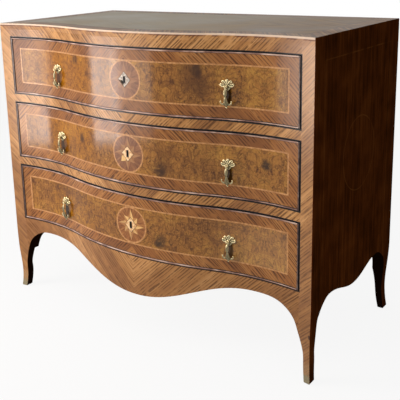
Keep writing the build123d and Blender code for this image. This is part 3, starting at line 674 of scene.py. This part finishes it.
# Wrought iron lock parts, filed and oiled: blue-black with brown rust in the hollows.
iron = {"rustMm": 9, "tones": ((0.4, "#2c2a29"), (0.62, "#5a3a25")), "reliefMm": 0.15}


def makeIronSurface():
    made, add = newSurface("wroughtIronFiled")
    rust = {"Vector": add("TexCoord", out="Object"), "Scale": perMm(iron["rustMm"]), "Detail": 5.0}
    rust = add("TexNoise", rust)
    rough = add("MapRange", [rust, 0.4, 0.65, 0.4, 0.8])
    metal = add("MapRange", [rust, 0.45, 0.6, 1.0, 0.2])
    closeSurface(add, iron, add("ValToRGB", [rust], iron["tones"]), rust, roughness=rough, metallic=metal)
    return made


# Handles: a cast leaf backplate with a forked post, its nut inside the drawer, and a hinged drop.
# Local millimetres: x along the front, y up, z outwards, from the middle of the plate on the drawer's face.
# Rows are x, y, z and radius, and what has an x is made on both sides. Leaves have two radii and a turn.
handleShape = {
    "voxel": 0.42, "steps": 9,
    "leaves": ((0, 10.8, 1.7, 5.0, 6.6, 0), (6.2, 9.0, 1.6, 3.8, 6.0, -36), (0, -7.2, 1.5, 4.6, 4.4, 0),
               (5.4, -5.0, 1.5, 3.8, 3.6, 35), (10.8, 2.0, 1.6, 6.2, 4.2, 0), (0, 1, 1.8, 9.0, 8.4, 0)),
    "leafThick": 1.9,
    "ribs": (((0, 3, 3.2, 1.2), (0, 10, 3.2, 0.9), (0, 17, 1.6, 0.5)),
             ((2.5, 5, 3.0, 1.5), (7.5, 11.5, 3.0, 1.6), (11.5, 13.0, 2.6, 1.3), (13.2, 10.2, 2.4, 1.2),
              (11.2, 8.6, 2.4, 1.3)),
             ((5, 0.5, 2.8, 2.2), (11, -1.5, 3.0, 1.8), (16.2, 0.2, 2.6, 1.5), (18.2, 3.6, 2.2, 1.3),
              (16.2, 6.0, 2.2, 1.3), (14.4, 4.0, 2.4, 1.1)),
             ((2, -3, 3.0, 1.4), (4.6, -8.0, 2.4, 1.0), (2.2, -10.6, 2.0, 0.8))),
    "boss": ((0, 0, 1.5, 6.4), (0, 0, 3.2, 5.6), (0, 0, 4.6, 3.9), (0, 0, 6.6, 3.0)),
    "ear": ((3.2, 0, 5.5, 2.4), (3.2, 0, 9.0, 2.5), (3.2, 0, 12.5, 3.0)), "earWide": 0.46,
    "pinHalf": 5.0, "pinRadius": 1.1, "pinHigh": 12.5,
    "tailLow": -30.5, "tailRadius": 2.0, "nutWide": 9.0, "nutLow": -28.1, "nutHigh": -25.1}
dropShape = {
    "voxel": 0.42, "steps": 8, "eyeRadius": 3.1, "eyeWide": 0.48, "pinHigh": 12.5,
    "stem": ((0, -2.0, 12.6, 1.6), (0, -6.0, 13.6, 2.0), (0, -9.5, 14.5, 3.7), (0, -14.0, 15.0, 5.0),
             (0, -19.5, 15.4, 4.7), (0, -24.0, 15.3, 2.9), (0, -29.0, 14.8, 3.4), (0, -35.0, 13.4, 4.8),
             (0, -41.0, 11.2, 6.6), (0, -45.5, 9.6, 5.6), (0, -49.0, 8.0, 2.5), (0, -51.0, 7.0, 1.7)),
    "collars": ((0, -8.0, 14.1, 2.7), (0, -24.0, 15.3, 2.7)), "collarTall": 0.32,
    "bead": (0, -53.0, 6.4, 2.9), "stemFlat": 0.62,
    "fluke": ((2.0, -43.5, 10.4, 3.0), (7.0, -45.2, 10.0, 2.6), (12.0, -44.0, 10.2, 2.1),
              (14.6, -40.6, 10.6, 1.7), (14.4, -37.6, 10.8, 1.9))}


def smoothRows(rows, steps):
    # points and radii on a smooth line through the rows
    rows = [Vector(row) for row in rows]
    rows = [2 * rows[0] - rows[1]] + rows + [2 * rows[-1] - rows[-2]]
    points = []
    for a, b, c, d in zip(rows, rows[1:], rows[2:], rows[3:]):
        for step in range(steps):
            t = step / steps
            points.append(0.5 * (2 * b + (c - a) * t + (2 * a - 5 * b + 4 * c - d) * t * t
                                 + (3 * b - a - 3 * c + d) * t ** 3))
    return points + [rows[-2]]


def addBall(shell, place, sizes, turn=0):
    spin = Matrix.Rotation(math.radians(turn), 4, "Z")
    matrix = Matrix.Translation(place) @ spin @ Matrix.Diagonal((*sizes, 1))
    bmesh.ops.create_icosphere(shell, subdivisions=2, radius=1, matrix=matrix)


def addTube(shell, rows, steps, flat=(1, 1, 1)):
    # a row of balls close enough to melt into one tapered bar, on both sides where it has an x
    for sign in ((-1, 1) if max(row[0] for row in rows) > 0 else (1,)):
        for x, y, z, radius in smoothRows(rows, steps):
            addBall(shell, (sign * x, y, z), [radius * share for share in flat])


def addRod(shell, radius, length, segments, place, turn=0.0):
    # a round rod along z, or turned towards x
    matrix = Matrix.Translation(place) @ Matrix.Rotation(turn, 4, "Y")
    bmesh.ops.create_cone(shell, cap_ends=True, segments=segments, radius1=radius, radius2=radius,
                          depth=length, matrix=matrix)


def cast(shell, name, voxel):
    # the balls melted into one skin, smoothed a little, and brought from millimetres to metres
    mesh = bpy.data.meshes.new(name)
    shell.to_mesh(mesh)
    shell.free()
    rough = bpy.data.objects.new(name, mesh)
    bpy.context.scene.collection.objects.link(rough)
    melt = rough.modifiers.new("melt", "REMESH")
    melt.mode, melt.voxel_size = "VOXEL", voxel
    polish = rough.modifiers.new("polish", "SMOOTH")
    polish.factor, polish.iterations = 0.5, 3
    seen = rough.evaluated_get(bpy.context.evaluated_depsgraph_get())
    done = bpy.data.meshes.new_from_object(seen)
    done.transform(Matrix.Diagonal((mm, mm, mm, 1)))
    done.shade_smooth()
    bpy.data.objects.remove(rough)
    done.name = name
    return done


def makePlateMesh():
    look = handleShape
    shell = bmesh.new()
    for x, y, z, wide, tall, turn in look["leaves"]:
        for sign in ((-1, 1) if x else (1,)):
            addBall(shell, (sign * x, y, z), (wide, tall, look["leafThick"]), sign * turn)
    for rows in look["ribs"]:
        addTube(shell, rows, look["steps"])
    addTube(shell, look["boss"], 3, (1, 1, 0.5))
    addTube(shell, look["ear"], look["steps"], (look["earWide"], 1, 1))
    addRod(shell, look["pinRadius"], 2 * look["pinHalf"], 16, (0, 0, look["pinHigh"]), math.pi / 2)
    addRod(shell, look["tailRadius"], 2 - look["tailLow"], 20, (0, 0, look["tailLow"] / 2 + 1))
    nut = Matrix.Translation((0, 0, (look["nutLow"] + look["nutHigh"]) / 2))
    nut = nut @ Matrix.Diagonal((look["nutWide"], look["nutWide"], look["nutHigh"] - look["nutLow"], 1))
    bmesh.ops.create_cube(shell, size=1, matrix=nut)
    return cast(shell, "handlePlateCast", look["voxel"])


def makeDropMesh():
    look = dropShape
    shell = bmesh.new()
    flat = (1, 1, look["stemFlat"])
    radius = look["eyeRadius"]
    addBall(shell, (0, 0, look["pinHigh"]), (radius * look["eyeWide"], radius, radius))
    addTube(shell, look["stem"], look["steps"], flat)
    for x, y, z, radius in look["collars"]:
        addBall(shell, (x, y, z), (radius, radius * look["collarTall"], radius * look["stemFlat"] * 1.1))
    addBall(shell, look["bead"][:3], [look["bead"][3]] * 3)
    addTube(shell, look["fluke"], look["steps"], flat)
    return cast(shell, "handleDropCast", look["voxel"])


# Brass, cast and tarnished: pale gold where hands rub it, brown in the hollows, with green-grey verdigris.
# The leaf plate stands proud and is rubbed more than the drop below it: plateLift is added to its edges.
brass = {"stainMm": 6, "pitMm": 1.2, "hollow": "#140c04", "rubbed": "#efdcaa", "edges": (0.491, 0.540),
         "plateFromMm": -12, "plateLift": 0.006, "verdigris": "#7b8468", "verdigrisShare": 0.36,
         "reliefMm": 0.12}


def makeBrassSurface():
    look = brass
    made, add = newSurface("brassCastTarnished")
    place = placeOn(add)
    stain = add("TexNoise", {"Vector": place["whole"], "Scale": perMm(look["stainMm"]), "Detail": 4.0})
    pits = add("TexNoise", {"Vector": place["whole"], "Scale": perMm(look["pitMm"]), "Detail": 3.0})
    plate = add("Ease", [place["Y"], look["plateFromMm"] * mm, 0.0])
    edges = add("NewGeometry", out="Pointiness")
    edges = add("Math MULTIPLY_ADD", [plate, look["plateLift"], edges])
    colour = add("Blend", [add("Ease", [edges, *look["edges"]]), look["hollow"], look["rubbed"]])
    green = add("Ease", [stain, 0.56, 0.72, 0.0, look["verdigrisShare"]])
    colour = add("Blend", [green, colour, look["verdigris"]])
    rough = add("MapRange", [stain, 0.35, 0.7, 0.18, 0.5])
    metal = add("MapRange", [green, 0.0, 0.65, 1.0, 0.45])
    closeSurface(add, look, colour, pits, roughness=rough, metallic=metal)
    return made


def hangHandles(surface):
    # each handle stands on the drawer's face at its joint's pin, turned with the hollow of the front
    plateMesh, dropMesh = makePlateMesh(), makeDropMesh()
    for mesh in (plateMesh, dropMesh):
        mesh.materials.clear()
        mesh.materials.append(surface)
    for level in levels:
        for side in ("left", "right"):
            joint = cadJoints[f"{level}_{side}_drop_swing"]
            across = -Vector(joint["axis"])
            outwards = across.cross(Vector((0, 0, 1)))
            turn = Matrix((across, (0, 0, 1), outwards)).transposed().to_4x4()
            face = Vector(joint["pos_m"]) - outwards * handleShape["pinHigh"] * mm
            for mesh, part, body, node in (
                    (plateMesh, "Plate", level + "_drawer", level + "_drawer_handle_plates"),
                    (dropMesh, "Drop", f"{level}_{side}_drop", f"{level}_drawer_{side}_drop")):
                piece = bpy.data.objects.new(level + side.capitalize() + "Handle" + part, mesh)
                piece.matrix_world = Matrix.Translation(face) @ turn
                bpy.context.scene.collection.objects.link(piece)
                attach(piece, body)
                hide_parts(node)
    print("handles hung on their pins")


def dress():
    slanted, side = makeCarcassSurfaces()
    poplarLong = makePoplarSurface("poplarPlanedLengthways", True)
    poplarDeep = makePoplarSurface("poplarPlanedFrontToBack", False)
    ironwork = makeIronSurface()
    surfaces = {"walnut_crossgrain": slanted, "walnut_side": side, "walnut_top": makeTopSurface(),
                "poplar": poplarLong, "ebonised_bead": makeBeadSurface(),
                "walnut_border": makeBorderSurface(), "burr_walnut": makeBurrSurface(),
                "wrought_iron": ironwork}
    hangHandles(makeBrassSurface())
    own = dict.fromkeys(("drawer_runners", "drawer_guides", "top_kickers"), poplarDeep)
    for level in levels:
        own[level + "_drawer_boxwood_inlay"] = makeBoxwoodSurface(level)
        own[level + "_drawer_medallion_ground"] = makeGroundSurface(level)
        own[level + "_drawer_escutcheon"] = makeBoneSurface(level)
        own[level + "_drawer_box_boards"] = poplarDeep
        front = makePoplarSurface("poplarDrawerFront" + level.capitalize(), True, keyholeOf=level)
        own[level + "_drawer_front"] = front
    for part in frame["record"]["subparts"]:
        surface = own.get(part["node"], surfaces.get(part["material_slot"], ironwork))
        for slot in cadNodes[part["node"]].material_slots:
            slot.material = surface
    print("surfaces made:", len(bpy.data.materials))


dress()


# Studio: pale floor, white surroundings, a tall soft lamp at the front left, a wider one beside it and a weak
# one overhead. Metres, degrees from straight ahead of the chest, and watts
studio = {"floorHalf": 9.0, "floorTone": "#e6e3de", "whiteShare": 0.9, "surroundings": 0.22,
          "lampFar": 2.1, "lampTall": 1.85, "lampFoot": 0.06, "lampTone": "#fff4ee", "aimY": -0.25,
          "window": {"bearing": -53, "wide": 0.64, "power": 36},
          "room": {"bearing": -37, "wide": 0.9, "power": 19},
          "overhead": {"place": (-0.4, -0.9, 2.9), "aim": (0, 0, 0.5), "wide": 2.6, "power": 26}}
cameraFit = {"place": (1.2658, -1.7357, 1.0674), "yaw": -0.6416, "pitch": -0.2436, "roll": -0.0285,
             "lens": 65.56, "shiftX": 0.0499, "shiftY": -0.1586}


def seenRays(add):
    # 1 for rays that show the surroundings: from the camera, off a gloss or through glass
    rays = add("LightPath").node.outputs
    seen = add("Math MAXIMUM", [rays["Is Camera Ray"], rays["Is Glossy Ray"]])
    return add("Math MAXIMUM", [seen, rays["Is Transmission Ray"]])


def buildStudio():
    bpy.ops.mesh.primitive_plane_add(size=2 * studio["floorHalf"])
    floor = bpy.context.object
    floor.name = "studioFloor"
    made, add = newSurface("studioFloorPaint")
    matt = add("BsdfDiffuse", {"Color": studio["floorTone"]})
    white = add("Emission", {"Color": "#ffffff", "Strength": 1.0})
    share = add("Math MULTIPLY", [seenRays(add), studio["whiteShare"]])
    add("OutputMaterial", [add("MixShader", [share, matt, white])])
    floor.data.materials.append(made)

    world = bpy.data.worlds.new("studioSurroundings")
    bpy.context.scene.world = world
    add = nodesFor(world)
    dim, white = [add("Background", {"Color": "#ffffff", "Strength": strength})
                  for strength in (studio["surroundings"], 1.0)]
    add("OutputWorld", [add("MixShader", [seenRays(add), dim, white])])


def addLamp(name, place, target, wide, tall, power, tone="#ffffff"):
    lamp = bpy.data.lights.new(name, "AREA")
    lamp.shape = "RECTANGLE"
    lamp.size, lamp.size_y = wide, tall
    lamp.energy = power
    lamp.color = linear(tone)[:3]
    stand = bpy.data.objects.new(name, lamp)
    stand.location = place
    stand.rotation_euler = (Vector(target) - Vector(place)).to_track_quat("-Z", "Y").to_euler()
    stand.visible_camera = False
    bpy.context.scene.collection.objects.link(stand)


def addLamps():
    far, tall, aimY = studio["lampFar"], studio["lampTall"], studio["aimY"]
    high = tall / 2 + studio["lampFoot"]
    for name in ("window", "room"):
        lamp = studio[name]
        bearing = math.radians(lamp["bearing"])
        place = (far * math.sin(bearing), aimY - far * math.cos(bearing), high)
        addLamp(name + "Lamp", place, (0, aimY, high), lamp["wide"], tall, lamp["power"], studio["lampTone"])
    lamp = studio["overhead"]
    addLamp("overheadLamp", lamp["place"], lamp["aim"], lamp["wide"], lamp["wide"], lamp["power"])


def addCamera():
    fit = cameraFit
    yaw, pitch, roll = fit["yaw"], fit["pitch"], fit["roll"]
    ahead = Vector((math.sin(yaw) * math.cos(pitch), math.cos(yaw) * math.cos(pitch), math.sin(pitch)))
    level = Vector((math.cos(yaw), -math.sin(yaw), 0))
    upright = level.cross(ahead)
    right = level * math.cos(roll) + upright * math.sin(roll)
    up = upright * math.cos(roll) - level * math.sin(roll)
    lens = bpy.data.cameras.new("photoCamera")
    lens.lens, lens.sensor_width = fit["lens"], 36
    lens.shift_x, lens.shift_y = fit["shiftX"], fit["shiftY"]
    eye = bpy.data.objects.new("photoCamera", lens)
    turn = Matrix((right, up, -ahead)).transposed().to_4x4()
    eye.matrix_world = Matrix.Translation(fit["place"]) @ turn
    bpy.context.scene.collection.objects.link(eye)
    bpy.context.scene.camera = eye


buildStudio()
addLamps()
addCamera()
bpy.context.scene.view_settings.view_transform = "Standard"
print("studio and camera ready")
